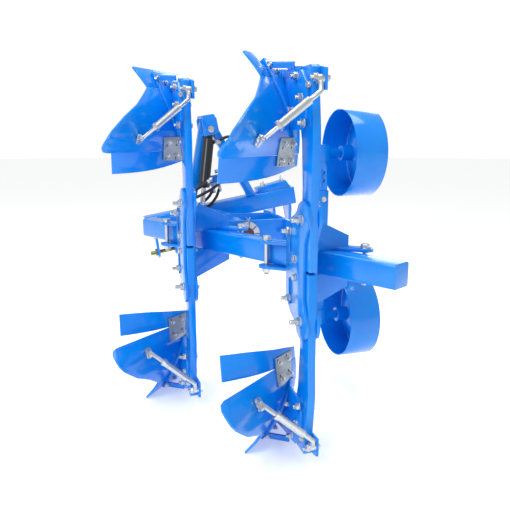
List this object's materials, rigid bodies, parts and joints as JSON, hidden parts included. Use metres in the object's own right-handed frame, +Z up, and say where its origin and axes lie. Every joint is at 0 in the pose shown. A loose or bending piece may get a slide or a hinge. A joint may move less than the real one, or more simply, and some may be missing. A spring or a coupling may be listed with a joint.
{
  "type": "mounted reversible mouldboard plough",
  "caption": "Mounted reversible mouldboard plough with mirrored upper and lower bodies on a slanting beam, a turnover hub with hydraulic cylinder, and depth wheels.",
  "frame": {"origin": "midpoint between the two lower hitch pins, where the tractor's linkage holds the plough", "axes": "+X to the right, +Y the way of travel, +Z up along the legs; the headstock leans 10 degrees to the left"},
  "size_m": [1.215, 1.6184, 1.5118],
  "materials": {
    "blue_paint": "gloss azure paint",
    "zinc_plate": "galvanised",
    "grey_plate": "bare grey steel",
    "black_paint": "satin black paint",
    "chrome_rod": "ground and chromed",
    "brown_primer": "dark brown primer",
    "olive_zinc": "olive zinc plating",
    "hose_rubber": "wrapped black hose cover"
  },
  "bodies": {
    "headstock": {"cross_tube": "blue_paint", "hub_shaft": "brown_primer", "hub_nut": "zinc_plate", "mast": "blue_paint", "clevis_pin": "zinc_plate", "stop_block": "blue_paint", "left_hitch_pin": "olive_zinc", "right_hitch_pin": "olive_zinc", "coupling_block": "zinc_plate", "relief_valve": "zinc_plate", "upper_port_hose": "hose_rubber", "lower_port_hose": "hose_rubber"},
    "plough_frame": {"rear_upper_share": "blue_paint", "rear_upper_mouldboard": "blue_paint", "rear_upper_extension_strip": "blue_paint", "rear_upper_frog": "blue_paint", "rear_upper_landside": "blue_paint", "rear_upper_leg": "blue_paint", "rear_upper_joint_plate": "grey_plate", "rear_upper_brace": "zinc_plate", "rear_lower_share": "blue_paint", "rear_lower_mouldboard": "blue_paint", "rear_lower_extension_strip": "blue_paint", "rear_lower_frog": "blue_paint", "rear_lower_landside": "blue_paint", "rear_lower_leg": "blue_paint", "rear_lower_joint_plate": "grey_plate", "rear_lower_brace": "zinc_plate", "rear_leg_bracket": "blue_paint", "rear_left_clamp_bolt": "zinc_plate", "rear_right_clamp_bolt": "zinc_plate", "front_upper_share": "blue_paint", "front_upper_mouldboard": "blue_paint", "front_upper_extension_strip": "blue_paint", "front_upper_frog": "blue_paint", "front_upper_landside": "blue_paint", "front_upper_leg": "blue_paint", "front_upper_joint_plate": "grey_plate", "front_upper_brace": "zinc_plate", "front_lower_share": "blue_paint", "front_lower_mouldboard": "blue_paint", "front_lower_extension_strip": "blue_paint", "front_lower_frog": "blue_paint", "front_lower_landside": "blue_paint", "front_lower_leg": "blue_paint", "front_lower_joint_plate": "grey_plate", "front_lower_brace": "zinc_plate", "front_leg_bracket": "blue_paint", "front_left_clamp_bolt": "zinc_plate", "front_right_clamp_bolt": "zinc_plate", "beam": "blue_paint", "turning_frame": "blue_paint", "link_plate": "blue_paint", "wheel_sleeve": "blue_paint"},
    "upper_bar": {"upper_wheel_bar": "blue_paint"},
    "lower_bar": {"lower_wheel_bar": "blue_paint"},
    "upper_wheel": {"upper_depth_wheel": "blue_paint"},
    "lower_wheel": {"lower_depth_wheel": "blue_paint"},
    "barrel": {"cylinder_barrel": "black_paint"},
    "rod": {"cylinder_rod": "chrome_rod"}
  },
  "joints": [
    {"name": "turnover", "type": "hinge", "parent": "headstock", "child": "plough_frame", "pos_m": [-0.02084, -0.55, 0.11818], "axis": [0, 1, 0], "range_deg": [0, 160]},
    {"name": "upper_wheel_height", "type": "slide", "parent": "plough_frame", "child": "upper_bar", "axis": [0, 0, 1], "range_m": [-0.04, 0.06]},
    {"name": "lower_wheel_height", "type": "slide", "parent": "plough_frame", "child": "lower_bar", "axis": [0, 0, 1], "range_m": [-0.06, 0.04]},
    {"name": "upper_wheel_spin", "type": "hinge", "parent": "upper_bar", "child": "upper_wheel", "pos_m": [0.41316, -0.77, 0.50818], "axis": [1, 0, 0], "continuous": true},
    {"name": "lower_wheel_spin", "type": "hinge", "parent": "lower_bar", "child": "lower_wheel", "pos_m": [0.41316, -0.77, -0.27182], "axis": [1, 0, 0], "continuous": true},
    {"name": "cylinder_swing", "type": "hinge", "parent": "headstock", "child": "barrel", "pos_m": [-0.10905, -0.123, 0.61846], "axis": [0, -1, 0], "range_deg": [0, 32.4]},
    {"name": "rod_slide", "type": "slide", "parent": "barrel", "child": "rod", "axis": [-0.1186, 0, -0.9929], "range_m": [-0.096, 0.0995]}
  ]
}
